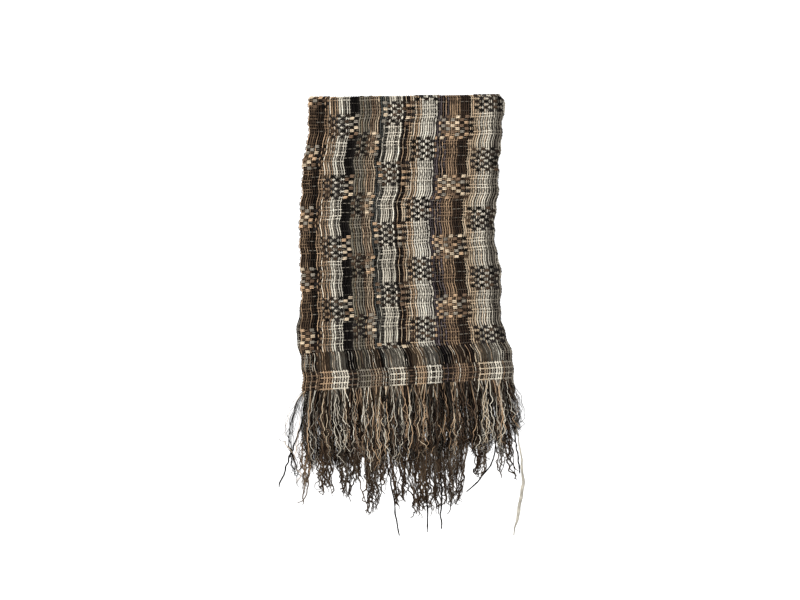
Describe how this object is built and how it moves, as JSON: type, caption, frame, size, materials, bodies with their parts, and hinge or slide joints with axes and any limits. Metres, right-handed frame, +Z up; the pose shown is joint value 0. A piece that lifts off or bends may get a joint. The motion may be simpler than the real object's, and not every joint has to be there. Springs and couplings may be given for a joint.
{
  "type": "scarf",
  "caption": "Long fringed scarf in a lengthwise striped openwork weave, folded across its middle and laid flat, with both loose fringes together at one end.",
  "frame": {"origin": "middle of the whole outline seen from above, on the surface that the scarf lies on", "axes": "+X across the cloth to the right, +Y from the fringes up to the fold, +Z up"},
  "size_m": [0.515, 0.9274, 0.0071],
  "materials": {
    "patterned_cloth": "matte openwork weave of fine yarns, striped lengthwise in charcoal, browns, tan, cream and greys",
    "bare_threads": "matte bare lengthwise threads, darker than the cloth",
    "border_cloth": "matte plain woven lattice border, lighter than the cloth",
    "hidden_cloth": "matte openwork weave like the showing half",
    "fringe_yarn": "soft crimped fine yarns in charcoal, browns, tan and grey",
    "hidden_fringe_yarn": "soft crimped fine yarns, clumped at their tips"
  },
  "bodies": {
    "root": {"showing_panel": "patterned_cloth", "showing_openwork": "bare_threads", "showing_border": "border_cloth", "hidden_panel": "hidden_cloth", "showing_fringe": "fringe_yarn", "hidden_fringe": "hidden_fringe_yarn"}
  },
  "joints": []
}
